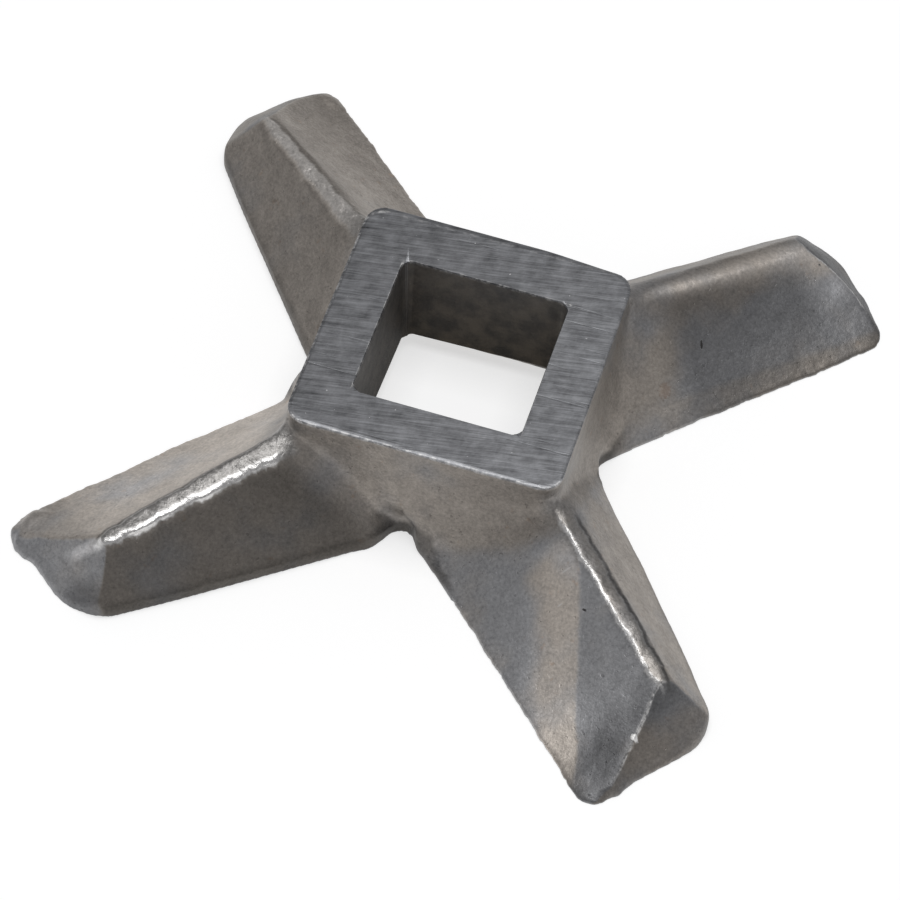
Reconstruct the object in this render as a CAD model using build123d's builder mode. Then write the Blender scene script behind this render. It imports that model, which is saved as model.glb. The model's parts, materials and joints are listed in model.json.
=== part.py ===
"""Four-armed knife of a meat grinder.

A square hub slides on the square end of the feed screw. Four arms run out from its corners. Each arm has
a broad hollow leading face that comes down to the cutting edge, a narrow ridge, a steep trailing face with
a thin land at its foot, and an end that leans inwards. The underside is ground flat and turns against the
hole plate, and only a shallow round recess and the drive hole interrupt it. The knife is cast in one piece.

Millimetres and degrees. The origin is on the axis of the drive hole, in the cutting plane, and +Z points
away from the hole plate. Seen from +Z the knife turns clockwise, with the leading edges first.

An arm is shaped along its own x, with its leading side at -y and its trailing side at +y.
"""

import os
from math import atan2, cos, hypot, radians, sin, tan

from build123d import *

os.makedirs("parts", exist_ok=True)

# Hub
hub_side = 23.4
hub_height = 11.2
hub_corner_radius = 1.8
hub_rim_radius = 0.35

# Drive hole
drive_square = 14.4
drive_corner_radius = 0.9
drive_lower_chamfer = 0.8

# Round recess of the underside, and how far it passes the corners of the drive hole
recess_overlap = 1.3
recess_depth = 0.8

# Plan of an arm. An edge has its distance from the hub's axis and its angle to the arm's middle line.
arm_count = 4
leading_offset = 9.0
leading_angle = 1.8
trailing_offset = 9.4
trailing_angle = 7.4
notch_radius = 1.6

# End of an arm, measured on its middle line. It bulges out between two points on either side of that line.
arm_reach = 37.8
end_slant = 5.0
end_lean = 41.0
end_bulge = 0.6
end_bulge_reach = 9.0
end_land = 0.5
leading_corner_radius = 1.4
trailing_corner_radius = 3.4

# Ridge, a strip that runs down from the hub's corner to the end of the arm
ridge_start_height = 8.8
ridge_end_height = 5.2
ridge_end_reach = 33.5
ridge_offset = 0.75
ridge_angle = 1.8
ridge_start_width = 2.0
ridge_end_width = 1.6
ridge_start_tilt = 0.6

# Faces of an arm
leading_hollow = 0.35
trailing_land = 1.1

# Hollow flare of each hub side. Its top starts near an arm's corner at the height of the ridge and drops
# evenly to the next corner, and its toe runs out on the leading face.
flare_start = 0.75
flare_drop = 2.0
flare_softness = 0.85
flare_sections = 5

# Room by which the forms pass each other before they are cut, and the size of the form that cuts the ends
margin = 6.0
end_form_size = 18.0

half_hub = hub_side / 2
corner_reach = half_hub * hypot(1, 1)
first_station = half_hub / 2
last_station = arm_reach + margin
recess_radius = drive_square / 2 * hypot(1, 1) + recess_overlap
first_arm = 180 / arm_count
flare_end = hub_side - hub_corner_radius
flare_step = (flare_end - flare_start) / (flare_sections - 1)
flare_reaches = [flare_start + step * flare_step for step in range(flare_sections)]


def share(x, at_start, at_end):
    """A measure that changes evenly from the hub's corner to the end of the ridge."""
    part = (x - corner_reach) / (ridge_end_reach - corner_reach)
    return at_start + (at_end - at_start) * part


def plan_line(x, offset, angle):
    """Height of a straight edge of the plan above the arm's middle line."""
    return offset / cos(radians(angle)) + x * tan(radians(angle))


def leading_line(x):
    return plan_line(x, -leading_offset, leading_angle)


def trailing_line(x):
    return plan_line(x, trailing_offset, -trailing_angle)


def end_corner(offset, angle):
    """Where an edge of the plan meets the slanted line of the arm's end."""
    rise = tan(radians(angle))
    slant = tan(radians(end_slant))
    across = plan_line(arm_reach, offset, angle) / (1 + slant * rise)
    return arm_reach - across * slant, across


def end_arc(height):
    """Three points of the bulged end at a height above its land."""
    middle = Vector(arm_reach - height * tan(radians(end_lean)), 0)
    along = Vector(-sin(radians(end_slant)), cos(radians(end_slant))) * end_bulge_reach
    back = Vector(cos(radians(end_slant)), sin(radians(end_slant))) * end_bulge
    return middle - along - back, middle, middle + along - back


def station(x):
    """Plane of the arm's section at x, with its own x to the trailing side and its own y up."""
    return Plane(origin=(x, 0, 0), x_dir=(0, 1, 0), z_dir=(1, 0, 0))


def ridge_leading(x):
    """Leading edge of the ridge strip in the section at x."""
    return Vector(plan_line(x, -ridge_offset, ridge_angle), share(x, ridge_start_height, ridge_end_height))


def ridge_trailing(x):
    """Trailing edge of the ridge strip in the section at x."""
    width = share(x, ridge_start_width, ridge_end_width)
    return ridge_leading(x) + Vector(width, share(x, -ridge_start_tilt, 0))


def leading_arc(x):
    """Low point and middle point of the hollow leading face at x, the low one below the cutting edge."""
    edge = Vector(leading_line(x), 0)
    chord = ridge_leading(x) - edge
    radius = chord.length**2 / (8 * leading_hollow) + leading_hollow / 2
    outward = Vector(-chord.Y, chord.X).normalized()
    centre = edge + chord * 0.5 + outward * (radius - leading_hollow)
    start = atan2(edge.Y - centre.Y, edge.X - centre.X)
    turns = (start - margin / radius, start + chord.length / radius / 2)
    return [centre + Vector(cos(turn), sin(turn)) * radius for turn in turns]


def trailing_low(x):
    """Point of the flat trailing face at x, below its land."""
    foot = Vector(trailing_line(x), trailing_land)
    return foot + (foot - ridge_trailing(x)).normalized() * margin


def leading_height(place):
    """Height of the leading face, its hollow left out, at a place in the plan."""
    edge = leading_line(place.X)
    ridge = ridge_leading(place.X)
    return ridge.Y * (place.Y - edge) / (ridge.X - edge)


def flare_section(reach):
    """Plane and three points of the flare at a distance along the hub's side from the arm's corner.

    The first point is on the hub's side and the last just under the leading face. The middle one makes the
    flare hollow.
    """
    out = Vector(1, -1).normalized()
    foot = Vector(corner_reach, 0) + Vector(-1, -1).normalized() * reach
    height = leading_height(foot)
    fall = atan2(height - leading_height(foot + out), out.length)
    bend = (radians(90) - fall) / 2
    top = Vector(0, ridge_start_height - flare_drop * reach / hub_side)
    spread = top.Y - height
    toe = Vector(spread * cos(fall), height - spread * sin(fall) - leading_hollow)
    inward = Vector(toe.Y - top.Y, top.X - toe.X).normalized()
    middle = (top + toe) * 0.5 + inward * flare_softness * spread * (1 - cos(bend)) / tan(bend)
    return Plane(origin=foot, x_dir=out, z_dir=out.cross(Vector(0, 0, 1))), top, middle, toe


# One arm, carried past its plan on all sides
with BuildPart() as wedge_form:
    for x in (first_station, last_station):
        low, middle = leading_arc(x)
        near = ridge_leading(x)
        far = ridge_trailing(x)
        with BuildSketch(station(x)):
            with BuildLine():
                ThreePointArc(low, middle, near)
                Polyline(near, far, trailing_low(x), (trailing_low(x).X, -margin), (low.X, -margin), low)
            make_face()
    loft(ruled=True)

# Flare of the hub's side on the arm's leading side, from this arm's corner to the next
with BuildPart() as flare_form:
    for reach in flare_reaches:
        plane, top, middle, toe = flare_section(reach)
        with BuildSketch(plane):
            with BuildLine():
                ThreePointArc(top, middle, toe)
                Polyline(
                    toe,
                    (toe.X, -last_station),
                    (-hub_corner_radius, -last_station),
                    (-hub_corner_radius, top.Y),
                    top,
                )
            make_face()
    loft(ruled=True)

# Everything inside the arm's end, which is upright at its land and leans towards the hub above it
with BuildPart() as end_form:
    for height in (-margin, end_form_size):
        low, middle, high = end_arc(height)
        with BuildSketch(Plane.XY.offset(end_land + height)):
            with BuildLine():
                ThreePointArc(low, middle, high)
                Polyline(high, (0, end_form_size), (0, -end_form_size), low)
            make_face()
    loft(ruled=True)

with BuildPart() as arm_form:
    add(wedge_form.part)
    add(end_form.part, mode=Mode.INTERSECT)

# Plan of one arm
with BuildSketch() as arm_plan:
    with BuildLine():
        Polyline(
            (0, leading_line(0)),
            end_corner(-leading_offset, leading_angle),
            end_corner(trailing_offset, -trailing_angle),
            (0, trailing_line(0)),
            close=True,
        )
    make_face()
    fillet(arm_plan.vertices().sort_by(Axis.X)[-2:].sort_by(Axis.Y)[-1], radius=trailing_corner_radius)
    fillet(arm_plan.vertices().sort_by(Axis.Y)[:2].sort_by(Axis.X)[-1], radius=leading_corner_radius)

# Plan of the whole knife, with round notches between the arms
with BuildSketch() as knife_plan:
    Rectangle(hub_side, hub_side)
    with PolarLocations(0, arm_count, start_angle=first_arm):
        add(arm_plan.sketch)
    notches = knife_plan.vertices().filter_by(lambda v: hypot(v.X, v.Y) < corner_reach)
    fillet(notches, radius=notch_radius)

with BuildPart() as cross_blade:
    # Hub
    with BuildSketch():
        RectangleRounded(hub_side, hub_side, hub_corner_radius)
    extrude(amount=hub_height)
    fillet(cross_blade.faces().sort_by(Axis.Z)[-1].edges(), radius=hub_rim_radius)

    # Arms, trimmed upright along the plan
    with PolarLocations(0, arm_count, start_angle=first_arm):
        add(arm_form.part)
        add(flare_form.part)
    add(knife_plan.sketch)
    extrude(amount=hub_height, mode=Mode.INTERSECT)

    # Recess of the underside
    with BuildSketch():
        Circle(recess_radius)
    extrude(amount=recess_depth, mode=Mode.SUBTRACT)

    # Drive hole, its lower rim broken
    with BuildSketch():
        RectangleRounded(drive_square, drive_square, drive_corner_radius)
    extrude(amount=hub_height, mode=Mode.SUBTRACT)
    lower_rim = cross_blade.edges(Select.LAST).filter_by_position(Axis.Z, recess_depth, recess_depth)
    chamfer(lower_rim, length=drive_lower_chamfer)

cross_blade.part.label = "cross_blade"
export_step(cross_blade.part, "parts/cross_blade.step")
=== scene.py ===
# %% [markdown]
# # A cast knife for a meat grinder
#
# This lesson dresses one casting: a square hub with a square hole, and four arms with a sloping face on each
# side of a rough ridge. The shape and the size come from the CAD model, which is loaded first. The surface
# comes from here: the skin that the mould left, the two ground faces, the flash along the ridges, the blunt
# edges and the dents.

# %% Load the frame
import json
import math

import bpy
import numpy as np
from mathutils import Matrix, Vector

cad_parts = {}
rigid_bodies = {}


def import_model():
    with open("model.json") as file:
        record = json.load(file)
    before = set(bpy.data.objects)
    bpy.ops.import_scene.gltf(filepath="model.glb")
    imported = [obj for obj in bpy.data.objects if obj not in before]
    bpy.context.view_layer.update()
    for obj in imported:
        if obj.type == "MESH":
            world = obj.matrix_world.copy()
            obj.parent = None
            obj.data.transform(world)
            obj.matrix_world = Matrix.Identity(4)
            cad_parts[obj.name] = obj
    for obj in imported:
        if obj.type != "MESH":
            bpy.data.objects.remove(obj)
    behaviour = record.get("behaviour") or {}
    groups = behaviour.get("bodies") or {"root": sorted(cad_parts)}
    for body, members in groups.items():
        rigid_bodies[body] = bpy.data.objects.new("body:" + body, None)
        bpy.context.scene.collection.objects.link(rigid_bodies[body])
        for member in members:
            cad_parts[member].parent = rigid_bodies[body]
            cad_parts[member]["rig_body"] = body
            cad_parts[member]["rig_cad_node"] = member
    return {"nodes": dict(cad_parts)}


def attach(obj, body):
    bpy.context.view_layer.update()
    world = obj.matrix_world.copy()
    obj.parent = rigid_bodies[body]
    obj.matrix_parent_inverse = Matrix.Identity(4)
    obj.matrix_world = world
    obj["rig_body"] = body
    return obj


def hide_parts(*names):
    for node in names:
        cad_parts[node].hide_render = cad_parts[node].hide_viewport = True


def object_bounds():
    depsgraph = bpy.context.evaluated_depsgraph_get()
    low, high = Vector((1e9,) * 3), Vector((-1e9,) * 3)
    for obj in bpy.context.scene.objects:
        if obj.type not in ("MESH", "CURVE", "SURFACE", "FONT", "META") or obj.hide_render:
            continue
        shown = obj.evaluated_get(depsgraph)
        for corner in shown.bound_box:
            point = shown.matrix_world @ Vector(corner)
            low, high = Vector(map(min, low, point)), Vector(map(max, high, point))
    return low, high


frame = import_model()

MM = 0.001
cad_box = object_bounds()
casting = frame["nodes"]["cross_blade"]
print("CAD box in mm", [[round(value / MM, 2) for value in corner] for corner in cad_box])

# %% [markdown]
# ## The camera
#
# The photograph looks down on the knife from the front at a little over fifty degrees, with the camera turned
# five degrees about its own axis. A long lens keeps the hub's opposite sides nearly parallel. The angles were
# found by matching the hub's corners, the hole's corners and the arms' ends, and the camera is placed from
# them as a direction and a distance. A small lens shift puts the hub where the photograph has it.

# %% Camera
azimuth, elevation, roll = (math.radians(angle) for angle in (13.095, 53.210, 4.998))
distance = 361.4 * MM
back = Vector((math.sin(azimuth) * math.cos(elevation), -math.cos(azimuth) * math.cos(elevation),
               math.sin(elevation)))
level = (-back).cross(Vector((0, 0, 1))).normalized()
upright = level.cross(-back)
right = math.cos(roll) * level + math.sin(roll) * upright
up = math.cos(roll) * upright - math.sin(roll) * level
camera_data = bpy.data.cameras.new("photo_camera")
camera_data.sensor_width = 36
camera_data.lens = 171.25
camera_data.shift_x = -0.00485
camera_data.shift_y = -0.0247
camera = bpy.data.objects.new("photo_camera", camera_data)
camera.matrix_world = Matrix.Translation(back * distance) @ Matrix((right, up, back)).transposed().to_4x4()
bpy.context.scene.collection.objects.link(camera)
bpy.context.scene.camera = camera
print("camera at", [round(value, 3) for value in camera.location])

# %% [markdown]
# ## One skin over the whole casting
#
# The CAD mesh has few, long triangles, and a casting has no such faces. A copy of it is merged, and the parts
# that a mould adds by itself are put on it as closed pieces that dip into the metal: a strip of flash on each
# rough ridge, and a bead where each nose of the knife has run full. A voxel remesh then melts everything into
# one skin of small, even faces, which can be softened and dented anywhere. The alternative, a cage with a
# subdivision surface, needs its loops planned around every corner, and a casting's soft corners come more
# naturally from smoothing.

# %% Copy and merge the casting
def only(piece):
    """Make one object the only selected one, and the active one."""
    bpy.ops.object.select_all(action="DESELECT")
    piece.select_set(True)
    bpy.context.view_layer.objects.active = piece


skin = casting.copy()
skin.data = casting.data.copy()
skin.name = skin.data.name = "cast_knife"
skin.parent = None
bpy.context.scene.collection.objects.link(skin)
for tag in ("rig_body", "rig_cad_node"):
    del skin[tag]
only(skin)
bpy.ops.object.mode_set(mode="EDIT")
bpy.ops.mesh.select_all(action="SELECT")
bpy.ops.mesh.remove_doubles(threshold=1e-6)
bpy.ops.object.mode_set(mode="OBJECT")
print("merged casting:", len(skin.data.vertices), "vertices")

# %% [markdown]
# ## Four unequal arms
#
# The four arms come from one pattern, and yet no two are alike in the photograph: one edge stands out a
# little more, one end is cut shorter, one nose is blunter, and one ridge has no flash at all. These
# differences are small, so the CAD model leaves them out. One list keeps them together, and each step below
# reads its own values from it, so an arm can be changed without touching a step. All are in mm but the angle:
#
# - `angle` is the arm's direction in degrees, seen from above.
# - `lead` and `trail` move the two long edges outwards, and `nose`, `middle` and `heel` do so with the end.
# - `hollow` is the depth of the dip in the end, and `blunt` is the radius of the nose in plan.
# - `bead` is the size of the nose's bead along the arm, across it and upwards.
# - `proud` is how far the flash reaches past the ridge on its leading and on its trailing side, `rise` is how
#   high it stands, and `torn` says how rough it is, with 0 for a clean ridge.

# %% The form of the four arms, named as the camera sees them
arms = [
    {"name": "lower_right", "angle": -45,
     "lead": 0.42, "trail": 0.0, "nose": 0.3, "middle": -0.65, "heel": -0.85, "hollow": 0.3, "blunt": 1.15,
     "bead": (1.6, 1.6, 0.7), "proud": (-0.15, -0.35), "rise": 0.22, "torn": 0.35},
    {"name": "lower_left", "angle": -135,
     "lead": -0.4, "trail": 0.0, "nose": 0.3, "middle": -0.3, "heel": -1.1, "hollow": 0.15, "blunt": 1.8,
     "bead": (2.4, 2.2, 1.3), "proud": (-0.12, -0.05), "rise": 0.35, "torn": 0.8},
    {"name": "upper_left", "angle": 135,
     "lead": -0.05, "trail": 0.05, "nose": -0.35, "middle": 0.3, "heel": -1.1, "hollow": 0.1, "blunt": 1.5,
     "bead": (1.7, 1.7, 1.0), "proud": (-0.45, -0.35), "rise": 0.14, "torn": 0.6},
    {"name": "upper_right", "angle": 45,
     "lead": 0.45, "trail": 0.25, "nose": -0.45, "middle": 0.95, "heel": 0.2, "hollow": 0.1, "blunt": 1.2,
     "bead": (1.6, 1.5, 0.6), "proud": (-0.2, -0.2), "rise": 0.0, "torn": 0.0},
]
number_of = {arm["name"]: number for number, arm in enumerate(arms)}
print("arms:", number_of)

# %% [markdown]
# ## The flash
#
# The mould parts along the ridges, and steel that ran into the gap stands there as a thin strip with a ragged
# outline. Each strip is a flat grid, extruded downwards into a closed bar and laid on its ridge. Its outline
# is a sum of waves of random phase, because a real one wanders at every scale. The same formula tells further
# down where the flash lies, so that the material and the relief fit it.

# %% Where the ridges run
# Half the hub's side, its height, and how far from the axis its round corners reach.
hub_half, hub_top, hub_reach = 11.7, 11.2, 15.8
# Where a ridge begins and ends along its arm, how high it begins and how far it falls.
ridge_start, ridge_end, ridge_top, ridge_fall = 16.55, 33.5, 8.8, 3.6
# How far the ridge lies to the trailing side, the angle at which it runs, and how fast it narrows.
ridge_offset, ridge_angle, ridge_taper = 0.25, 1.8, 0.012


def ridge_height(along):
    """Height of the ridge's leading edge at a distance from the hub's axis."""
    return ridge_top - ridge_fall * (along - ridge_start) / (ridge_end - ridge_start)


def ridge_middle(along):
    """How far the middle of the ridge lies to the trailing side of the arm's middle line."""
    return ridge_offset + along * math.tan(math.radians(ridge_angle)) - ridge_taper * (along - ridge_start)


print("ridges fall from", ridge_height(ridge_start), "to", round(ridge_height(ridge_end), 2), "mm")


# %% The outline of a strip of flash
def ramp(value, low, high):
    """A smooth step from 0 at low to 1 at high, and the other way round when high is the smaller."""
    share = np.clip((value - low) / (high - low), 0, 1)
    return share * share * (3 - 2 * share)


def ragged(along, seed, pitch=1.1):
    """A random wavy line of about unit height, always the same one for a seed."""
    draw = np.random.default_rng(seed)
    total = np.zeros_like(along)
    for octave in range(5):
        total += 0.72 ** octave * np.sin(pitch * 1.9 ** octave * along + draw.uniform(0, math.tau))
    return total / 1.8


def strip_edge(number, along, side):
    """How far across the edge of an arm's strip of flash lies. Side is 0 for leading and 1 for trailing."""
    half = 1.0 - ridge_taper * (along - ridge_start) + arms[number]["proud"][side]
    half += 0.12 * ragged(along, 2 * number + side)
    half += (0.2 if side else 0.8) * np.exp(-np.maximum(along - hub_reach, 0) / 0.9)
    half *= 0.4 + 0.6 * ramp(along, ridge_end + 0.5, ridge_end - 1.5)
    return ridge_middle(along) + (half if side else -half)


def strip_height(number, along, share):
    """Height of the strip of flash at a share of the way from its leading to its trailing edge."""
    height = ridge_height(np.minimum(along, ridge_end)) - 0.9 * np.maximum(along - ridge_end, 0)
    height -= 0.6 * share * ramp(along, ridge_end, ridge_start)
    height += arms[number]["rise"] + 0.9 * (1 - share) * np.exp(-np.maximum(along - hub_reach, 0) / 0.8)
    return height + 0.05 * ragged(along + 1.3 * share, 20 + number)


# %% The strips of flash
def points_of(piece):
    """The vertices of a piece as an array, in mm."""
    flat = np.empty(3 * len(piece.data.vertices))
    piece.data.vertices.foreach_get("co", flat)
    return flat.reshape(-1, 3) / MM


def put_points(piece, points):
    """Write the vertices of a piece back from an array in mm."""
    piece.data.vertices.foreach_set("co", (points * MM).ravel())
    piece.data.update()


def turned(number, along, across, height):
    """Points given along and across an arm, as points of the knife."""
    turn = math.radians(arms[number]["angle"])
    return np.stack([along * math.cos(turn) - across * math.sin(turn),
                     along * math.sin(turn) + across * math.cos(turn), height], axis=1)


def flash_bar(number, depth=1.1):
    """A closed bar with a ragged outline that follows a ridge and dips into it."""
    bpy.ops.mesh.primitive_grid_add(x_subdivisions=180, y_subdivisions=12, size=1)
    bar = bpy.context.active_object
    bar.name = "flash_" + arms[number]["name"]
    bpy.ops.object.mode_set(mode="EDIT")
    bpy.ops.mesh.select_all(action="SELECT")
    bpy.ops.mesh.extrude_region_move(TRANSFORM_OT_translate={"value": (0, 0, -1)})
    bpy.ops.mesh.select_all(action="SELECT")
    bpy.ops.mesh.normals_make_consistent(inside=False)
    bpy.ops.object.mode_set(mode="OBJECT")
    grid = points_of(bar) * MM
    share = grid[:, 1] + 0.5
    begin = hub_reach - 0.4 + 1.3 * share ** 2
    along = begin + (grid[:, 0] + 0.5) * (ridge_end + 0.4 - begin)
    across = strip_edge(number, along, 0) * (1 - share) + strip_edge(number, along, 1) * share
    height = strip_height(number, along, share) - 0.12 * (2 * share - 1) ** 4
    put_points(bar, turned(number, along, across, height - np.where(grid[:, 2] < -0.5, depth, 0)))
    return bar


bars = [flash_bar(number) for number in range(len(arms)) if arms[number]["torn"] > 0]
print("strips of flash:", [bar.name for bar in bars])

# %% [markdown]
# ## The beads of the noses
#
# The nose of each arm is where the cutting edge meets the end, and the steel that filled it last has drawn
# up into a small round bead. Half an ellipsoid does for it: a sphere is cut in two, its upper half gets a
# steeper side and stands on the cutting plane inside the nose's corner.

# %% The beads
nose_along, nose_across = 38.2, -7.6


def nose_bead(number):
    """Half an ellipsoid that stands on the cutting plane, inside the corner of an arm's nose."""
    bpy.ops.mesh.primitive_uv_sphere_add(segments=48, ring_count=24, radius=1)
    bead = bpy.context.active_object
    bead.name = "bead_" + arms[number]["name"]
    bpy.ops.object.mode_set(mode="EDIT")
    bpy.ops.mesh.select_all(action="SELECT")
    bpy.ops.mesh.bisect(plane_co=(0, 0, 0), plane_no=(0, 0, 1), clear_inner=True, use_fill=True)
    bpy.ops.object.mode_set(mode="OBJECT")
    size = arms[number]["bead"]
    ball = points_of(bead) * MM
    ball[:, 2] = np.sqrt(np.maximum(ball[:, 2], 0))
    ball *= size
    along, across = nose_along - size[0] + ball[:, 0], nose_across + size[1] + ball[:, 1]
    put_points(bead, turned(number, along, across, ball[:, 2]))
    return bead


beads = [nose_bead(number) for number in range(len(arms))]
print("beads:", [bead.name for bead in beads])

# %% Melt everything into one skin
fine_voxel, quick_voxel = 0.14, 0.25
voxel = fine_voxel


def apply_modifier(piece, kind, **settings):
    """Add a modifier with its settings and apply it at once."""
    only(piece)
    modifier = piece.modifiers.new(kind.lower(), kind)
    for name, value in settings.items():
        setattr(modifier, name, value)
    bpy.ops.object.modifier_apply(modifier=modifier.name)


only(skin)
for piece in beads + bars:
    piece.select_set(True)
bpy.ops.object.join()
apply_modifier(skin, "REMESH", mode="VOXEL", voxel_size=voxel * MM)
print("one skin:", len(skin.data.polygons), "faces")

# %% [markdown]
# ## Softening
#
# Melted steel never fills a sharp corner of the mould. The flares at the hub's sides run into the arms
# without a line, the roots of the arms are round, and the rims of the ends are blunt. Only the faces that
# were ground afterwards have crisp edges. So the smoothing is weighted: strong around the hub's sides,
# medium at the ends, weak everywhere else and none at the ground faces. The long edges at the cutting plane
# are smoothed in plan only, so that the underside stays flat.

# %% Where each vertex lies
def arm_places(points):
    """Which arm each point is on, and how far it is along and across that arm."""
    turns = np.radians([arm["angle"] for arm in arms])
    along = points[:, :1] * np.cos(turns) + points[:, 1:2] * np.sin(turns)
    across = points[:, 1:2] * np.cos(turns) - points[:, :1] * np.sin(turns)
    which = along.argmax(axis=1)
    rows = np.arange(len(points))
    return which, along[rows, which], across[rows, which]


def inside_strip(which, along, across):
    """How many mm inside the strip of flash a point lies, and less than 0 outside it."""
    inside = np.full(len(which), -9.0)
    for number in range(len(arms)):
        rows = (which == number) & (along > hub_reach - 0.5)
        leading = across[rows] - strip_edge(number, along[rows], 0)
        trailing = strip_edge(number, along[rows], 1) - across[rows]
        inside[rows] = np.minimum(leading, trailing)
    return inside


def of_arm(key, item=None):
    """For each vertex a value of the arm it is on, or one item of that value."""
    return np.array([arm[key] if item is None else arm[key][item] for arm in arms])[which]


points = points_of(skin)
which, along, across = arm_places(points)
inside = inside_strip(which, along, across)
height = points[:, 2]
reach = np.abs(points[:, :2]).max(axis=1)
off_hub = reach - hub_half
print("vertices on each arm:", np.bincount(which))

# %% The notches between the arms
# Each notch has its shift sideways and how much deeper it goes than in the CAD model, or less deep below 0.
notches = {"front": (0.7, 1.0), "right": (0.28, -0.1), "back": (0.28, 0.4), "left": (0.28, -0.4)}
notch_reach = 12.6


def notch_places():
    """The middle of each notch, the direction from there to the hub and how much deeper it goes."""
    for quarter, (aside, depth) in enumerate(notches.values()):
        turn = math.radians(90 * quarter)
        towards = np.array([-math.sin(turn), math.cos(turn)])
        yield -notch_reach * towards - aside * np.array([math.cos(turn), math.sin(turn)]), towards, depth


print("notches at", [centre.round(1).tolist() for centre, *_ in notch_places()])


# %% Weigh the roots, the ends and the rest
def weigh(piece, name, weights):
    """Store weights as a vertex group, in steps of a tenth."""
    group = piece.vertex_groups.new(name=name)
    levels = np.rint(weights * 10).astype(int)
    for level in range(1, 11):
        group.add(np.flatnonzero(levels == level).tolist(), level / 10, "REPLACE")


torn = of_arm("torn")
flash = ramp(inside, -0.25, 0.1) * (torn > 0) * ramp(along, ridge_end + 0.6, ridge_end - 0.2)
root = ramp(off_hub, -0.4, 0.5) * ramp(off_hub, 7, 2) * ramp(height, 11.0, 10.2) * ramp(height, 0.3, 1.2)
for centre, *_ in notch_places():
    root *= np.maximum(ramp(np.hypot(*(points[:, :2] - centre).T), 1.8, 4.0), ramp(height, 2.6, 4.2))
clean_ridge = (torn == 0) * ramp(np.abs(inside + 0.6), 1.8, 0.6) * ramp(along, 15, 18)
weigh(skin, "root", root * (1 - flash * ramp(along, 16, 18.5)))
weigh(skin, "end", np.maximum(ramp(along, 31, 33.5), clean_ridge) * ramp(height, 0.1, 0.5) * (1 - flash))
weigh(skin, "cast", ramp(height, 0.05, 0.4) * ramp(height, 11.1, 10.9) * ramp(reach, 7.3, 7.9))
weigh(skin, "flash", flash * torn * ramp(along, hub_reach - 0.2, hub_reach + 0.5) * ramp(height, 2.5, 3.5))
weigh(skin, "sole", ramp(height, 0.6, 0.2) * ramp(off_hub, 0.5, 1.5))
print("groups:", [group.name for group in skin.vertex_groups])

# %% Smooth each group by its own number of passes
fineness = fine_voxel / voxel
passes_of = {"root": 260, "end": 60, "cast": 6, "sole": 12}
for group, passes in passes_of.items():
    apply_modifier(skin, "SMOOTH", factor=0.5, iterations=round(passes * fineness ** 2), vertex_group=group,
                   use_z=group != "sole")
print("smoothing moved a vertex by up to", np.abs(points_of(skin) - points).max().round(2), "mm")

# %% [markdown]
# ## The skin of the mould
#
# Two layers of relief are pressed into the cast faces: a slow swell over a few millimetres, as wax or sand
# patterns have, and a finer grain. The flash is torn metal and gets a rougher one. Sculpting brushes could
# press it in as well, but a Displace modifier with a cloud texture treats all faces alike, and its vertex
# group keeps it off the ground faces. The relief below a tenth of a millimetre is left to the material. The
# mesh is then thinned where it is flat.

# %% Press the relief in
def clouds(name, size, depth):
    """A cloud texture whose features have a size in mm."""
    texture = bpy.data.textures.new(name, "CLOUDS")
    texture.noise_scale = size * MM
    texture.noise_depth = depth
    return texture


for name, group, size, depth, strength in (("swell", "cast", 4.0, 1, 0.16), ("grain", "cast", 0.8, 2, 0.05),
                                           ("torn", "flash", 0.35, 1, 0.1)):
    apply_modifier(skin, "DISPLACE", texture=clouds(name, size, depth), texture_coords="LOCAL",
                   strength=strength * MM, mid_level=0.5, vertex_group=group)
    print(name, "pressed into", group, "over", strength, "mm")

# %% Thin the mesh where it is flat
most_triangles = 190000
skin.vertex_groups.clear()
triangles = sum(len(polygon.vertices) - 2 for polygon in skin.data.polygons)
apply_modifier(skin, "DECIMATE", ratio=min(1.0, most_triangles / triangles))
print("thinned skin:", sum(len(polygon.vertices) - 2 for polygon in skin.data.polygons), "triangles")

# %% [markdown]
# ## Where the finishes are
#
# The places of the finish are stored on the skin before it is bent, while the edges still run as in the CAD
# model: what is ground, what is flash, what lies in the hole and which face of an arm a point belongs to.
# Each is a number per vertex under a name, and the material reads it by that name later. An image would
# need the skin unwrapped, and its seams would show on so rough a surface.

# %% Store the ground faces, the hole and the flash
def normals_of(piece):
    """The normals at the vertices of a piece as an array."""
    flat = np.empty(3 * len(piece.data.vertices))
    piece.data.vertices.foreach_get("normal", flat)
    return flat.reshape(-1, 3)


def store(piece, name, values):
    """Keep one number per vertex under a name that a material can read."""
    attribute = piece.data.attributes.new(name=name, type="FLOAT", domain="POINT")
    attribute.data.foreach_set("value", values.astype(np.float32))
    print(name, "stored, from", values.min().round(2), "to", values.max().round(2))


points = points_of(skin)
normals = normals_of(skin)
which, along, across = arm_places(points)
inside = inside_strip(which, along, across)
height = points[:, 2]
reach = np.abs(points[:, :2]).max(axis=1)
torn = of_arm("torn")
flash = torn * ramp(inside, -0.3, 0.15) * ramp(height, 3.0, 4.0)
flash *= ramp(along, hub_reach - 0.3, hub_reach + 0.6) * ramp(along, ridge_end + 0.8, ridge_end)
store(skin, "ground", np.maximum(ramp(height, 10.9, 11.05), ramp(height, 0.12, 0.04)))
store(skin, "bore", ramp(reach, 7.9, 7.4) * ramp(height, 11.15, 10.9))
store(skin, "flash", flash)

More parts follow.
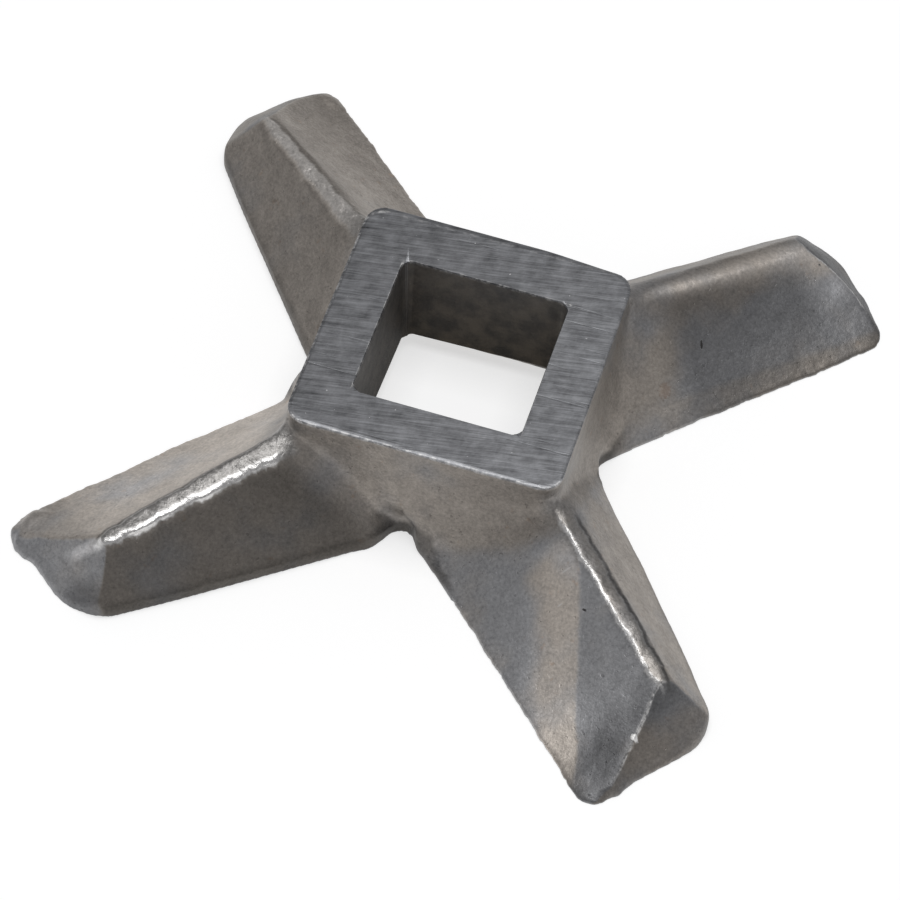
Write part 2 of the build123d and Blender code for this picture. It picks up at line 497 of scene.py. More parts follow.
# %% Tell the faces of the arms apart
turns = np.radians(of_arm("angle"))
outward = normals[:, 0] * np.cos(turns) + normals[:, 1] * np.sin(turns)
on_arm = ramp(reach, hub_half + 0.5, hub_half + 3)
on_hub = (1 - on_arm) * ramp(reach, hub_half - 0.5, hub_half)
facing_end = ramp(outward, 0.35, 0.6) * ramp(along, 30, 32)
crest = ramp(inside / np.where(torn > 0, 0.5, 1.4), -1.0, 0.0)
leading = on_arm * (1 - facing_end) * (1 - crest) * (across < ridge_middle(along))
trailing = on_arm * (1 - facing_end) * (1 - crest) * (across > ridge_middle(along))
for name, face in (("leading", leading), ("trailing", trailing), ("end", facing_end), ("ridge", crest)):
    print(name, "faces hold", f"{face.mean():.0%}", "of the vertices")

# %% [markdown]
# ## Painted light and shade, and how brown the cast skin is
#
# How light each face of an arm shows under the lamp is painted into its colour as painted light and shade,
# with painted highlights and painted shade in bands, and each arm also has its own browns. They could be
# painted on by hand. Smooth steps along and across an arm keep to its faces and edges exactly, so that is how
# they are made, from one more list:
#
# - `tone` is the painted lightness of the leading face at the hub and in its middle, and `tip` is
#   that of its nose at the cutting edge, half-way up and beside the ridge.
# - `others` is the painted lightness of the trailing face, the end and the ridge.
# - `warm` says how far across the arm, at the hub and at the end, the leading face turns from bluish to
#   brownish. `hue` is how much browner the whole leading face is and how brown the trailing one is, and
#   `end_warm` is how brown the foot of the end is.
# - `streak` is how much lighter a painted highlight band across the leading face is, `hem` is how
#   much painted shade darkens that face beside its ridge, and `brow` is how bright a painted highlight on the
#   top of a clean ridge is.
# - `spill` is how much lighter the flash is where it runs down the end and how much darker, as painted shade,
#   the lower trailing part of the end is, `shade` is how much painted shade darkens the end under its upper
#   border, and `arris` is how bright that border is, partly worn and partly a painted highlight.
# - `shiny` is the width in mm of the painted highlight on the rim of the flash on its leading and
#   on its trailing side, and `groove` is how dark the painted shade line beside that rim is.

# %% The finish of the four arms, with their painted light and shade
finishes = {
    "lower_right": {
        "tone": (1.0, 1.0), "tip": (0.52, 0.36, 0.6), "others": (0.88, 0.53, 0.74),
        "warm": (8.0, 8.0), "hue": (0.0, 1.0), "end_warm": 0.9, "streak": 0.5, "hem": 0.0, "brow": 0.0,
        "spill": 0.0, "shade": 0.1, "arris": 1.0, "shiny": (0.16, 0.0), "groove": (0.0, 0.9)},
    "lower_left": {
        "tone": (1.4, 1.4), "tip": (0.95, 1.1, 1.0), "others": (0.45, 0.96, 0.7),
        "warm": (-9.0, -9.0), "hue": (0.0, 1.0), "end_warm": 0.1, "streak": 0.0, "hem": 0.35, "brow": 0.0,
        "spill": 0.75, "shade": 0.0, "arris": 0.2, "shiny": (0.0, 0.5), "groove": (0.8, 0.0)},
    "upper_left": {
        "tone": (0.9, 0.9), "tip": (0.85, 0.85, 0.85), "others": (0.64, 0.5, 1.3),
        "warm": (-9.0, -9.0), "hue": (0.3, 0.5), "end_warm": 0.7, "streak": 0.0, "hem": 0.3, "brow": 0.0,
        "spill": 0.0, "shade": 0.0, "arris": 0.1, "shiny": (0.0, 0.0), "groove": (0.6, 0.0)},
    "upper_right": {
        "tone": (0.93, 0.54), "tip": (0.52, 0.72, 1.15), "others": (0.7, 0.3, 0.6),
        "warm": (-2.2, -1.6), "hue": (0.0, 1.0), "end_warm": 0.3, "streak": 0.0, "hem": 0.2, "brow": 0.8,
        "spill": 0.0, "shade": 0.0, "arris": 0.9, "shiny": (0.0, 0.0), "groove": (0.0, 0.0)},
}
for arm in arms:
    arm.update(finishes[arm["name"]])
print("each arm has", len(finishes["lower_right"]), "values for its finish")

# %% Store where the cast skin is brown
turning = of_arm("warm", 0) + (of_arm("warm", 1) - of_arm("warm", 0)) * (along - 17) / 20
# A painted highlight band runs across the leading face, lighter and browner than the rest of it.
off_highlight_band = across + 3.0 + 0.51 * (along - 22.9)
streak = of_arm("streak") * ramp(along, 17, 19.5) * ramp(along, 37, 33)
streak *= ramp(off_highlight_band, 2.2, 1.7) * ramp(off_highlight_band, -3.6, -0.4)
warmth = ramp(across, turning - 1.3, turning + 1.3) + 2.0 * streak
warmth = np.maximum(warmth, ramp(inside, -0.3, 0.3) + trailing * of_arm("hue", 1))
warmth += leading * of_arm("hue", 0)
brown_border = np.maximum(0.6 * ramp(along, 20, 17), 0.8 * ramp(across, -6.2, -7.0))
# The strength of the ridge's painted highlight also sets how brown the border by the hub and the cutting edge
# is.
warmth = np.maximum(warmth, of_arm("brow") * brown_border)
warmth += facing_end * (of_arm("end_warm") * ramp(height, 4.2, 2.4) - warmth)
store(skin, "warm", np.maximum(warmth, on_hub * ramp(points[:, 0], -8, -2)))

# %% Work out the painted light and shade of each face
at_root, at_nose = ramp(along, 21, 16), ramp(along, 31, 35)
above_edge, near_ridge = ramp(across, -7.0, -4.6), ramp(across, -4.6, -2.0)
tip_painted_light = of_arm("tip", 0) * (1 - above_edge) + of_arm("tip", 1) * (above_edge - near_ridge)
tip_painted_light += of_arm("tip", 2) * near_ridge
lead_painted_light = of_arm("tone", 1) + at_root * (of_arm("tone", 0) - of_arm("tone", 1))
lead_painted_light += at_nose * (tip_painted_light - of_arm("tone", 1)) + streak
end_change = (of_arm("others", 1) - 1) * (1 - 0.25 * ramp(height, 4.2, 2.4) * of_arm("end_warm"))
# Each face of an arm gets its painted light and shade.
tone = 1 + leading * (lead_painted_light - 1) + trailing * (of_arm("others", 0) - 1)
tone += on_arm * facing_end * end_change
tone += on_arm * (1 - facing_end) * crest * (of_arm("others", 2) - 1)
print("mean lightness of the arms:", [round(float(tone[which == number].mean()), 2) for number in range(4)])

# %% Add the painted highlight and shade bands and store the painted lightness
beside_ridge = np.exp(-np.maximum(-inside - 0.2, 0) / 1.1) * ramp(along, 34, 31)
from_ridge_highlight = (across - ridge_middle(along) + 0.7) / (0.35 + 0.05 * (along - hub_reach).clip(0))
down_the_end = ramp(np.abs(across - 0.9 + 0.5 * (5.0 - height)), 0.9, 0.2) * ramp(height, 2.2, 3.6)
below_arris = 0.64 * (across + 7.6) - height
left_root_shade = ramp(points[:, 0], -3, -8) * ramp(points[:, 1], -9, -11) * ramp(reach, 18, 13.5) * (across > 0)
# Painted shade darkens the leading face beside its ridge.
tone -= of_arm("hem") * leading * beside_ridge
# A painted highlight lies along the top of a clean ridge.
tone += of_arm("brow") * on_arm * (1 - facing_end) * np.exp(-from_ridge_highlight ** 2)
# The end is lighter down the run of flash and darker, painted shade, at its lower trailing part.
tone += of_arm("spill") * facing_end * (down_the_end - 0.6 * ramp(across, 0.5, 3) * ramp(height, 3.5, 1.5))
# Painted shade darkens the end under its upper border.
tone -= of_arm("shade") * facing_end * ramp(below_arris, 2.6, 0.9)
# The hub's sides get painted shade, darker towards the right, and so does the root beside the hub's front
# left.
tone -= (0.2 + 0.12 * ramp(points[:, 0], -6, 4)) * on_hub
tone -= 0.1 * left_root_shade
store(skin, "tone", np.maximum(tone, 0.2))

# %% [markdown]
# The steep faces are darker at their feet with painted shade, and the wall on the right of the front notch
# has a painted shadow. The upper border of each end is painted bright, partly as wear and partly as a painted
# highlight, by a different amount on each arm.

# %% Store the painted shade at the feet and the bright borders of the ends
steep = ramp(np.abs(normals[:, 2]), 0.8, 0.45)
# Painted shade at the feet of the steep faces and near the hub.
foot_shade = steep * ramp(height, 1.9, 1.2) * np.maximum(0.7 * trailing, 1.2 * ramp(reach, 15, 13))
from_notch = along - 8.4
# A painted shadow on the wall to the right of the front notch.
notch_wall_shade = ramp(across + 0.08 * from_notch + 0.12 * ragged(along, 60), -7.5, -7.75) * ramp(from_notch, 9, 4.5)
notch_wall_shade *= (which == number_of["lower_right"]) * ramp(height, 3.0, 2.0)
# The upper border of each end gets a painted highlight, scaled by the arm's arris.
border = 4 * facing_end * (1 - facing_end) * ramp(across, 1.6, 0.6) * ramp(height, 0.8, 1.8)
store(skin, "foot_shade", np.maximum(foot_shade, 0.8 * notch_wall_shade))
store(skin, "border_highlight", of_arm("arris") * border)
store(skin, "arris", 0.35 + (of_arm("arris") - 0.35) * ramp(along, 32, 33.5) * ramp(height, 1.0, 2.5))

# %% Store the painted highlights on the rims of the flash and the painted shade lines beside them
shiny, groove = np.zeros(len(points)), np.zeros(len(points))
on_ridge = ramp(height, 3.0, 4.0) * ramp(along, 16.8, 18) * ramp(along, 34.5, 33)
for number, arm in enumerate(arms):
    rows = (which == number) & (along > hub_reach - 0.5)
    for side in (0, 1):
        within = (strip_edge(number, along[rows], side) - across[rows]) * (1 if side else -1)
        width = arm["shiny"][side]
        if width > 0:
            band = ramp(within, -0.16, -0.05) * ramp(within, 1.2 * width, 0.6 * width)
            shiny[rows] = np.maximum(shiny[rows], band)
        line = ramp(within, -0.42, -0.25) * ramp(within, 0.06, -0.08)
        groove[rows] = np.maximum(groove[rows], arm["groove"][side] * line)
store(skin, "shiny", shiny * on_ridge)
store(skin, "groove", groove * on_ridge)

# %% [markdown]
# ## Bending the arms
#
# Then the skin is bent into the four arms of the photograph. Each arm's edges and end move by the few
# tenths of a millimetre listed above, and its nose is rounded in plan. Each notch between the arms gets its
# own depth, and the hub's far side moves out. The rim of the ground top gets crisper, because it was ground
# after casting. The low rim gives way in a few single places, one lower corner of the hole is rounder and
# the hole's lower rim stands higher at the back, and the cutting edges are ragged. Lattices or sculpting
# could do the same by hand, but a formula that moves each vertex by its place gives the same skin every
# time.

# %% Bend the arms
def move_on_arm(outwards, sideways):
    """Move each vertex along its own arm and towards that arm's trailing side, in mm."""
    points[:, 0] += outwards * np.cos(turns) - sideways * np.sin(turns)
    points[:, 1] += outwards * np.sin(turns) + sideways * np.cos(turns)


outer = ramp(along, 12, 30) * ramp(along, 10, 36)
to_leading = np.clip((-across - 0.5) / 7.5, 0, 1)
to_trailing = np.clip((across - 0.5) / 4.5, 0, 1)
near_nose = ramp(-across, 3.0, 7.5)
near_heel = ramp(across, 0.5, 4.5)
stretch = of_arm("nose") * near_nose + of_arm("heel") * near_heel
stretch += of_arm("middle") * (1 - near_nose) * (1 - near_heel)
stretch *= ramp(along, 27, 36.5)
widen = outer * (of_arm("trail") * to_trailing - of_arm("lead") * to_leading)
move_on_arm(stretch, widen)
print("ends moved by", stretch.min().round(2), "to", stretch.max().round(2), "mm")

# %% Hollow the ends
dip = of_arm("hollow") * ramp(outward, 0.3, 0.7) * ramp(along, 31, 34) * ramp(np.abs(across + 1.5), 4.5, 0)
dip *= ramp(height, 0.0, 1.2)
points -= dip[:, None] * normals
print("deepest dip of an end:", dip.max().round(2), "mm")

# %% Round the noses in plan
plan_nose_along, plan_nose_across = 38.5, -7.75
radius = of_arm("blunt")
_, along, across = arm_places(points)
past_along = np.maximum(along - (plan_nose_along + of_arm("nose") - radius), 0)
past_across = np.minimum(across - (plan_nose_across - of_arm("lead") + radius), 0)
length = np.maximum(np.hypot(past_along, past_across), 1e-6)
past = np.maximum(length - 0.7 * radius, 0)
shrink = (0.3 * radius * np.tanh(past / (0.3 * radius)) - past) / length
shrink *= np.minimum(1, -3 * past_along * past_across / length ** 2)
move_on_arm(past_along * shrink, past_across * shrink)
print("vertices moved at the noses:", np.count_nonzero(shrink))

# %% Give each notch its depth
for centre, towards, depth in notch_places():
    near = np.hypot(*(points[:, :2] - centre).T)
    pull = depth * ramp(near, 3.0, 0.9) * ramp(height, 4.5, 1.8) * ramp(reach, hub_half - 1.5, hub_half)
    points[:, :2] += pull[:, None] * towards
    print("notch at", centre.round(1), "moved by", pull[np.abs(pull).argmax()].round(2), "mm")

# %% Make the rim of the ground top crisper
# Its rounding is kept, with less than half the radius.
hub_corner, hub_rim = 1.8, 0.35
corner_centre = hub_half - hub_corner
half_x, half_y = (np.maximum(np.abs(points[:, axis]) - corner_centre, 0) for axis in (0, 1))
plan = np.maximum(np.hypot(half_x, half_y), 1e-6)
rim_out = np.maximum(plan - hub_corner + hub_rim, 0) * (plan < hub_corner + 0.15)
rim_up = np.maximum(height - hub_top + hub_rim, 0)
sharpen = 0.6 * (np.hypot(rim_out, rim_up) / np.maximum(np.maximum(rim_out, rim_up), 1e-6) - 1)
sharpen *= (rim_out > 0) & (rim_up > 0)
points[:, 0] += np.sign(points[:, 0]) * half_x / plan * rim_out * sharpen
points[:, 1] += np.sign(points[:, 1]) * half_y / plan * rim_out * sharpen
points[:, 2] += rim_up * sharpen
print("vertices on the rim:", np.count_nonzero(sharpen))

# %% Move the hub's far side
far_side = ramp(points[:, 1], 7.6, 11.7) * ramp(reach, 13.5, 11.9) * ramp(height, 6, 10)
push = far_side * (0.5 - 0.4 * ramp(points[:, 0], 3, 11))
points[:, 1] += push
print("the hub's far side moved by up to", push.max().round(2), "mm")

# %% Nudge the low rim in a few places
# Each nudge has its place on the cutting plane, its radius and how far the rim moves there.
nudges = [
    ((0.4, -12.6), 2.0, (-0.35, -0.33)),
    ((-2.9, -13.7), 2.2, (0.05, -0.12)),
    ((-13.8, -0.2), 3.2, (-0.5, 0.0)),
    ((30.2, 25.2), 4.0, (-0.28, -0.28)),
    ((19.8, -31.0), 3.0, (-0.3, 0.0)),
    ((22.5, -32.2), 1.9, (-0.25, 0.5)),
    ((-31.5, -22.0), 2.4, (0.4, 0.0)),
    ((-29.8, -23.8), 1.8, (-0.2, -0.35)),
]
for centre, radius, shift in nudges:
    near = np.hypot(*(points[:, :2] - centre).T)
    pull = ramp(near, radius, 0.2 * radius) * ramp(height, 6.0, 2.5)
    points[:, :2] += pull[:, None] * np.array(shift)
print(len(nudges), "nudges made")

# %% Round one lower corner of the hole
hole_half, soft_radius, hole_chamfer, chamfer_top = 7.2, 2.1, 0.8, 1.6
soft_centre = hole_half - soft_radius
in_hole = ramp(reach, 9.5, 7.5) * ramp(height, 7, 2) * ramp(height, 0.7, 0.95)
corner_x, corner_y = np.maximum(-points[:, 0] - soft_centre, 0), np.maximum(points[:, 1] - soft_centre, 0)
length = np.maximum(np.hypot(corner_x, corner_y), 1e-6)
widening = np.clip(chamfer_top - height, 0, hole_chamfer)
shrink = in_hole * np.maximum(length - soft_radius - widening, 0) / length * ((corner_x > 0) & (corner_y > 0))
points[:, 0] += corner_x * shrink + 0.25 * in_hole * ramp(points[:, 0], -6.5, -7.1)
points[:, 1] -= corner_y * shrink
print("vertices in the soft corner:", np.count_nonzero(shrink))

# %% Raise the hole's lower rim at the back
low_rim = ramp(height, 0.85, 1.5) * ramp(height, 6, 2) * ramp(reach, 9, 7.6)
at_back = np.maximum(ramp(points[:, 1], 1, 6), 0.5 * ramp(points[:, 0], -2, -6.5))
lift = 0.5 * low_rim * at_back * (1 + 0.3 * ragged(points[:, 0], 50))
points[:, 2] += lift
print("the rim is raised by up to", lift.max().round(2), "mm")

# %% Ragged cutting edges
fringe = ramp(height, 1.6, 0.1) * on_arm * ramp(across, -5.5, -7.5) * ramp(along, 13, 17)
bite = 0.06 * ragged(along, 40, pitch=0.7) - 0.15 * np.maximum(ragged(along, 41, pitch=0.9) - 0.6, 0)
move_on_arm(0, -fringe * bite)
print("edges ragged by", (fringe * bite).min().round(2), "to", (fringe * bite).max().round(2), "mm")

# %% Keep the finished skin inside the CAD box
limit, easing = cad_box[1][0] / MM - 0.02, 0.4
over = np.maximum(np.abs(points[:, :2]) - (limit - easing), 0)
points[:, :2] = np.sign(points[:, :2]) * (np.abs(points[:, :2]) - over + easing * np.tanh(over / easing))
points[:, 2] = np.clip(points[:, 2], 0, hub_top)
put_points(skin, points)
print("skin spans", points.min(axis=0).round(2), "to", points.max(axis=0).round(2))

# %% [markdown]
# ## Where the wear, the dirt and the painted shade in creases are
#
# Worn metal is bright where the surface is sharply rounded, and creases are darkened by dirt and painted
# shade. For each vertex the neighbours are looked at: where they lie below its tangent plane the skin is
# convex, and where they lie above it the skin is hollow. The measure is averaged a few times, so that it
# spreads a little to both sides of an edge.

# %% Measure how convex the skin is
edges = np.empty(2 * len(skin.data.edges), dtype=np.int32)
skin.data.edges.foreach_get("vertices", edges)
first, second = edges.reshape(-1, 2).T
normals = normals_of(skin)
step = points[second] - points[first]
step /= np.maximum(np.linalg.norm(step, axis=1), 1e-6)[:, None]
neighbours = np.bincount(np.concatenate([first, second]), minlength=len(points)).clip(1)


def gather(at_first, at_second):
    """The mean over each vertex's edges of a value given at the edge's first and at its second end."""
    total = np.bincount(first, at_first, len(points)) + np.bincount(second, at_second, len(points))
    return total / neighbours


convex = gather(-(step * normals[first]).sum(axis=1), (step * normals[second]).sum(axis=1))
for _ in range(3):
    convex = 0.4 * convex + 0.6 * gather(convex[second], convex[first])
store(skin, "convex", convex)

# %% [markdown]
# ## Shader maths
#
# A `Wire` stands for one output of a node. Sums and products of wires and numbers add Math nodes, `blend`
# mixes two colours by a wire, and every other node comes from `node`, which takes the settings first.

# %% Wires
class Wire:
    """One output socket of a node tree, used in expressions as if it were a number."""

    def __init__(self, tree, socket):
        self.tree = tree
        self.socket = socket

    def node(self, kind, settings, sockets, output=0):
        """Add a node with its settings, and give each socket a plain value or a wire."""
        made = self.tree.nodes.new(kind)
        for name, value in settings.items():
            setattr(made, name, value)
        for name, value in sockets.items():
            if isinstance(value, Wire):
                self.tree.links.new(value.socket, made.inputs[name])
            else:
                made.inputs[name].default_value = value
        return Wire(self.tree, made.outputs[output])

    def math(self, operation, other, swapped=False):
        """A Math node on this wire and another value, which comes first when they are swapped."""
        left, right = (other, self) if swapped else (self, other)
        return self.node("ShaderNodeMath", {"operation": operation}, {0: left, 1: right})

    def __add__(self, other):
        return self.math("ADD", other)

    def __sub__(self, other):
        return self.math("SUBTRACT", other)

    def __rsub__(self, other):
        return self.math("SUBTRACT", other, swapped=True)

    def __mul__(self, other):
        return self.math("MULTIPLY", other)

    __radd__, __rmul__ = __add__, __mul__

    def absolute(self):
        """The value without its sign."""
        return self.math("ABSOLUTE", 0.0)

    def ramp(self, low, high):
        """A smooth step from 0 at low to 1 at high."""
        return self.node("ShaderNodeMapRange", {"interpolation_type": "SMOOTHSTEP"},
                         {"Value": self, "From Min": low, "From Max": high})

    def blend(self, below, above):
        """The colour below where this is 0 and the colour above where it is 1."""
        return self.node("ShaderNodeMix", {"data_type": "RGBA"}, {0: self, 6: below, 7: above}, output=2)

    def scaled(self, factor):
        """A colour or a vector times a number."""
        return self.node("ShaderNodeVectorMath", {"operation": "SCALE"}, {0: self, "Scale": factor})


# %% [markdown]
# ## The metal
#
# One material covers the knife, because it is one casting, and the stored places choose between its
# finishes. The cast skin is a dull steel grey that drifts from bluish to brownish over several millimetres,
# with a fine grain, dark pores and a few rusty freckles, and its stored painted light and shade make each
# face as light or dark as it shows under the lamp. The ground faces are bluish and darker, with long fine
# scratches and painted light that grows towards the right, and a burr of bright specks with a painted
# highlight runs along their rims. The flash is torn and bright, with a painted highlight on its rims and a
# line of painted shade beside them. The hole is dark with old grease. Sharp rims are worn bright, creases are
# darkened by dirt and painted shade, and a few single pits, scratches and chips are set by their place on an
# arm. All patterns are noise on the object's own coordinates in mm, so they need no unwrapping and keep their
# size.

# %% Coordinates and patterns of the metal
steel = bpy.data.materials.new("cast_steel")
steel.use_nodes = True
tree = steel.node_tree
shader = tree.nodes["Principled BSDF"]
coordinates = tree.nodes.new("ShaderNodeTexCoord")
place = Wire(tree, coordinates.outputs["Object"]).scaled(1 / MM)


def stored(name):
    """A value that was stored on the skin."""
    return place.node("ShaderNodeAttribute", {"attribute_name": name}, {}, output=2)


def noise_of(size, detail=2.0, roughness=0.5, shift=(0, 0, 0), turn=0.0, stretch=(1, 1, 1)):
    """Noise with features of a size in mm, turned about the upright axis and stretched along its own axes."""
    spread = tuple(size * factor for factor in stretch)
    moved = place.node("ShaderNodeMapping", {"vector_type": "TEXTURE"},
                       {"Vector": place, "Location": shift, "Rotation": (0, 0, math.radians(turn)),
                        "Scale": spread})
    return place.node("ShaderNodeTexNoise", {}, {"Vector": moved, "Scale": 1.0, "Detail": detail,
                                                 "Roughness": roughness})


ground, bore, flash, convex = (stored(name) for name in ("ground", "bore", "flash", "convex"))
warm, tone, foot_shade, arris = (stored(name) for name in ("warm", "tone", "foot_shade", "arris"))
shiny, groove, border_highlight = (stored(name) for name in ("shiny", "groove", "border_highlight"))
grain = noise_of(0.28, 3, 0.7)
mottle = noise_of(1.6, 3, 0.6, shift=(5, 2, 0))
drift = noise_of(7.0, 2, 0.5, shift=(3, 8, 1))
x, y, z = (place.node("ShaderNodeSeparateXYZ", {}, {0: place}, output=axis) for axis in range(3))
print("patterns use", len(tree.nodes), "nodes")

# %% The cast skin
pores = noise_of(0.45, 2, 0.5, shift=(9, 1, 4)).ramp(0.33, 0.26)
freckles = noise_of(1.1, 3, 0.6, shift=(1, 7, 2)).ramp(0.64, 0.74) * warm
brownness = (warm * 0.8 + drift * 2.4 + mottle * 0.5 - 1.35).ramp(0.0, 1.0)
cast_skin = brownness.blend((0.345, 0.346, 0.356, 1), (0.385, 0.35, 0.315, 1))
cast_skin = (freckles * 0.4).blend(cast_skin, (0.36, 0.26, 0.19, 1))
# The stored painted light and shade set how light the cast skin shows, and painted shade darkens the feet.
cast_light = tone * (0.26 + 0.46 * mottle + 1.02 * grain) * (1 - 0.25 * pores) * (1 - 0.6 * foot_shade)
cast_skin = cast_skin.scaled(cast_light)
print("with the cast skin", len(tree.nodes), "nodes")

# %% The ground faces
scratches = noise_of(1.0, 4, 0.75, turn=12, stretch=(6, 0.3, 1))
gouges = noise_of(1.0, 2, 0.6, shift=(4, 4, 0), stretch=(14, 0.4, 1)).ramp(0.62, 0.74)
hairlines = noise_of(1.0, 3, 0.7, shift=(2, 5, 0), turn=9, stretch=(5, 0.13, 1))
clouded = noise_of(1.3, 4, 0.75, shift=(7, 7, 7), turn=60, stretch=(1.2, 0.9, 1))
specks = noise_of(0.35, 1, 0.4, shift=(6, 3, 3)).ramp(0.79, 0.83)
ground_marks_and_sheen = -1.4 + 1.4 * scratches + 1.3 * hairlines + 1.0 * mottle + 1.1 * clouded - 0.12 * gouges
# Painted light makes the ground faces lighter towards the right.
ground_marks_and_sheen = ground_marks_and_sheen * (0.555 + 0.0065 * x)
polished = drift.blend((0.365, 0.372, 0.39, 1), (0.41, 0.414, 0.432, 1)).scaled(ground_marks_and_sheen)
polished = (specks * 0.7).blend(polished, (0.8, 0.8, 0.8, 1))
print("with the ground faces", len(tree.nodes), "nodes")

# %% The flash and the hole
torn_metal = (grain * 0.9 + mottle * 0.5).ramp(0.35, 1.05)
# The flash takes the painted light and shade of its arm as well.
torn_metal = torn_metal.blend((0.26, 0.253, 0.245, 1), (0.58, 0.57, 0.56, 1)).scaled(tone)
greasy = mottle.ramp(0.3, 0.7).blend((0.014, 0.011, 0.008, 1), (0.055, 0.044, 0.031, 1))
greasy = greasy.scaled(0.8 + 0.9 * y.ramp(6.8, 7.1))
print("with the flash and the hole", len(tree.nodes), "nodes")


# %% The burr and the painted highlight on the rims of the ground face
def line_at(coordinate, position, width):
    """A line across the knife where a coordinate has a value."""
    return (coordinate - position).absolute().ramp(width, 0.4 * width)


past_x, past_y = ((coordinate.absolute() - corner_centre).math("MAXIMUM", 0.0) for coordinate in (x, y))
off_rim = (past_x * past_x + past_y * past_y).math("SQRT", 0.0) - hub_corner
blobs = noise_of(0.7, 3, 0.7, shift=(3, 3, 9)).ramp(0.43, 0.66)
beside_x, beside_y = (1 - coordinate.absolute().ramp(hole_half, hole_half + 0.3) for coordinate in (x, y))
at_front, at_left, at_right = y.ramp(-9.5, -10.5), x.ramp(-9.5, -10.5), x.ramp(9.5, 10.5)
# A burr of bright specks together with a painted rim highlight, strongest at the front and the left.
burr_and_rim_highlight = line_at(off_rim, -0.06, 0.17) * (0.3 + 0.25 * at_front + 0.6 * at_left - 0.1 * at_right)
burr_and_rim_highlight = burr_and_rim_highlight + 0.9 * line_at(y, 7.22, 0.16) * beside_x
burr_and_rim_highlight = burr_and_rim_highlight + (0.8 * line_at(x, -7.22, 0.16) + 0.3 * line_at(x, 7.22, 0.14)) * beside_y
burr_and_rim_highlight = burr_and_rim_highlight * z.ramp(10.8, 11.0) * blobs
print("with the burr", len(tree.nodes), "nodes")


# %% Single marks
def mark(name, along, across, length, width, turn):
    """An oval spot with a ragged rim, given by its place on an arm, its half size and its direction there."""
    number = number_of[name]
    centre = turned(number, np.array([along]), np.array([across]), np.array([0]))[0]
    local = place.node("ShaderNodeMapping", {"vector_type": "TEXTURE"},
                       {"Vector": place, "Location": tuple(centre),
                        "Rotation": (0, 0, math.radians(arms[number]["angle"] + turn)),
                        "Scale": (length, width, 1000)})
    distance = local.node("ShaderNodeVectorMath", {"operation": "LENGTH"}, {0: local}, output=1)
    return 1 - (distance + (grain - 0.5) * 1.2).ramp(0.6, 1.1)


pit = mark("lower_right", 24.3, -1.4, 0.24, 0.10, 20) + mark("upper_right", 21.5, -3.8, 0.34, 0.12, 65)
bright = mark("lower_right", 20.8, -1.2, 0.42, 0.08, 75) + mark("lower_right", 22.6, -2.6, 0.26, 0.07, 80)
chip = mark("lower_right", 35.1, -2.5, 0.36, 0.26, 30)
rusty = mark("upper_right", 16.9, -5.9, 0.7, 0.5, 30)
print("with the marks", len(tree.nodes), "nodes")

# %% Wear on the rims, and dirt and painted shade in the creases
broken = noise_of(0.5, 3, 0.7, shift=(2, 2, 6)).ramp(0.38, 0.58)
low = 1 - z.ramp(1.5, 2.8)
worn = (convex * (0.7 + 1.8 * arris)).ramp(0.12, 0.34) * broken
worn = worn * (1 - 0.8 * z.ramp(10.2, 10.7)) * (1 - 0.6 * low)
# Creases are darkened by dirt and painted shade.
crease_dirt_and_shade = convex.ramp(-0.06, -0.26)
print("with wear and dirt", len(tree.nodes), "nodes")

# %% Lay the colours over each other
colour = flash.blend(cast_skin, torn_metal)
# A painted highlight on the rims of the flash.
colour = (shiny * (0.2 + 1.0 * grain)).blend(colour, (0.84, 0.83, 0.82, 1))
# A line of painted shade beside that rim.
colour = (groove * (0.5 + 0.7 * mottle)).blend(colour, (0.06, 0.055, 0.05, 1))
colour = (rusty * 0.3).blend(colour, (0.26, 0.15, 0.09, 1))
colour = (pit * 0.85).blend(colour, (0.035, 0.032, 0.03, 1))
# Worn rims, the painted highlight on the ends' borders, scratches and chips are light.
colour = (worn + 0.8 * border_highlight * broken + bright * 0.5 + chip).blend(colour, (0.78, 0.77, 0.76, 1))
colour = (crease_dirt_and_shade * 0.7).blend(colour, (0.09, 0.08, 0.07, 1))
colour = ground.blend(colour, polished)
# The burr and the painted highlight on the ground rims.
colour = (burr_and_rim_highlight * 0.8).blend(colour, (0.72, 0.71, 0.70, 1))
colour = bore.blend(colour, greasy)
print("with the colours laid over each other", len(tree.nodes), "nodes")

# %% Gloss, and relief too fine for the mesh, in mm
roughness = 0.56 - 0.12 * mottle - 0.14 * worn - 0.12 * flash - 0.16 * shiny
roughness = roughness * (1 - ground) + ground * (0.36 + 0.12 * scratches)
roughness = roughness + bore * 0.25
metallic = 0.92 - 0.6 * bore
relief = (grain * 0.030 + noise_of(0.16, 2, 0.6) * 0.012 - pores * 0.02) * (1 - ground) * (1 + 0.7 * flash)
relief = relief - 0.1 * pit
relief = relief + ground * (scratches * 0.008 - gouges * 0.008)
bump = place.node("ShaderNodeBump", {}, {"Strength": 1.0, "Distance": MM, "Height": relief})

# %% Put the metal on the skin
finish = {"Base Color": colour, "Roughness": roughness, "Metallic": metallic, "Normal": bump}
for socket, value in finish.items():
    tree.links.new(value.socket, shader.inputs[socket])
skin.data.materials.clear()
skin.data.materials.append(steel)
only(skin)
bpy.ops.object.shade_smooth_by_angle(angle=math.radians(40))
apply_modifier(skin, "WEIGHTED_NORMAL", keep_sharp=True)
print("the metal has", len(tree.nodes), "nodes")

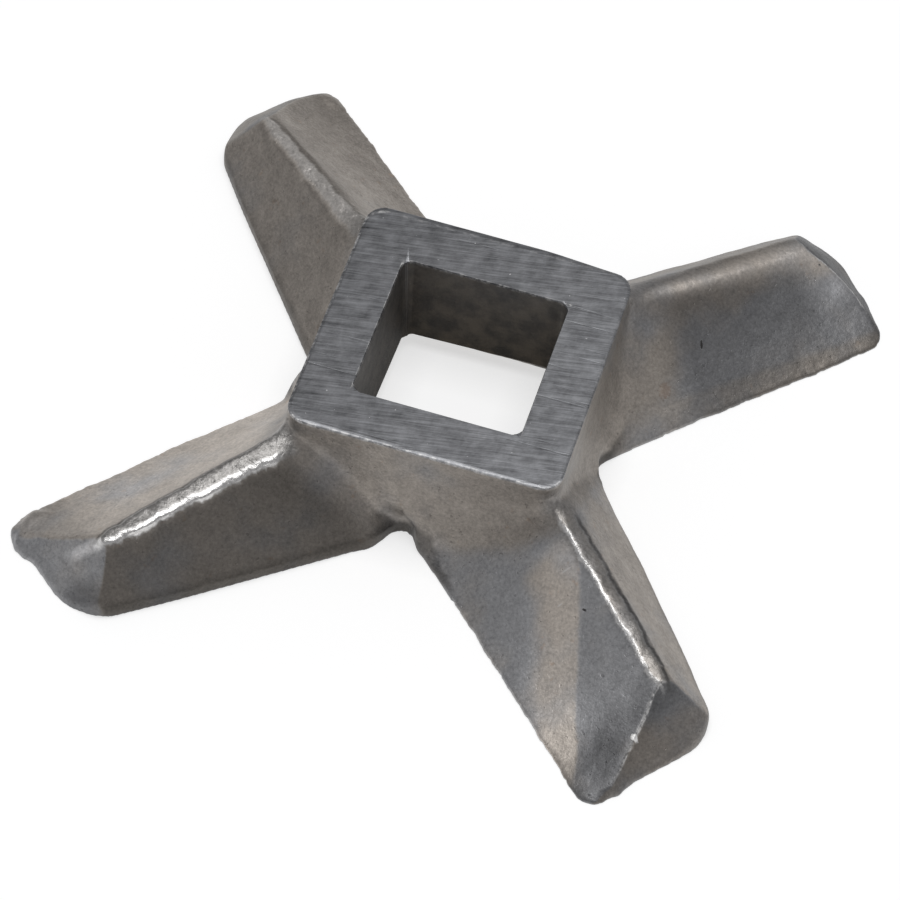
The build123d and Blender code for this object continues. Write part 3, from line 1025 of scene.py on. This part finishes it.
# %% [markdown]
# ## Floor and light
#
# The photograph is lit softly on a white table and cut out on white. Most of what bare metal shows is what
# it mirrors, so the table counts as much as the lamp: the faces that lean towards it are light, the others
# mirror the dimmer room. The table is pale, and a share of glow that only the camera and mirror rays see
# brings it to white and leaves the knife's shadow. One wide lamp overhead is enough, because several lamps
# would put more highlights on the ridges than the photograph has.

# %% The white table
bpy.ops.mesh.primitive_plane_add(size=3)
floor = bpy.context.active_object
floor.name = "floor"
paper = bpy.data.materials.new("white_table")
paper.use_nodes = True
table = paper.node_tree
table_shader = table.nodes["Principled BSDF"]
table_shader.inputs["Base Color"].default_value = (0.5, 0.5, 0.5, 1)
table_shader.inputs["Roughness"].default_value = 1.0
table_shader.inputs["Specular IOR Level"].default_value = 0.0
rays = table.nodes.new("ShaderNodeLightPath")
seen = Wire(table, rays.outputs["Is Camera Ray"])
seen = seen + Wire(table, rays.outputs["Is Glossy Ray"]) + Wire(table, rays.outputs["Is Transmission Ray"])
seen = seen.ramp(0.0, 1.0)
glow = seen.node("ShaderNodeEmission", {}, {"Color": (1, 1, 1, 1), "Strength": 0.59})
shine = Wire(table, table_shader.outputs[0])
lifted = seen.node("ShaderNodeAddShader", {}, {0: shine, 1: glow})
mixed = seen.node("ShaderNodeMixShader", {}, {0: seen, 1: shine, 2: lifted})
table.links.new(mixed.socket, table.nodes["Material Output"].inputs["Surface"])
floor.data.materials.append(paper)
print("the table has", len(table.nodes), "nodes")


# %% Lamp and room
def softbox(name, location, size, power):
    """A square area lamp that looks at the knife and isn't seen by the camera."""
    lamp = bpy.data.lights.new(name, "AREA")
    lamp.size = size
    lamp.energy = power
    holder = bpy.data.objects.new(name, lamp)
    holder.location = location
    holder.rotation_euler = (-Vector(location)).to_track_quat("-Z", "Y").to_euler()
    holder.visible_camera = False
    bpy.context.scene.collection.objects.link(holder)
    print(name, "of", power, "W at", location)


softbox("ceiling", (0.05, 0.0, 1.2), 0.9, 8.5)
world = bpy.data.worlds.new("room")
bpy.context.scene.world = world
world.use_nodes = True
world.node_tree.nodes["Background"].inputs["Color"].default_value = (0.34, 0.34, 0.345, 1)
bpy.context.scene.view_settings.view_transform = "Standard"

# %% [markdown]
# ## Hand over
#
# The skin takes the place of the CAD model's casting and stays inside its box.

# %% Hand over
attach(skin, "root")
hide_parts("cross_blade")
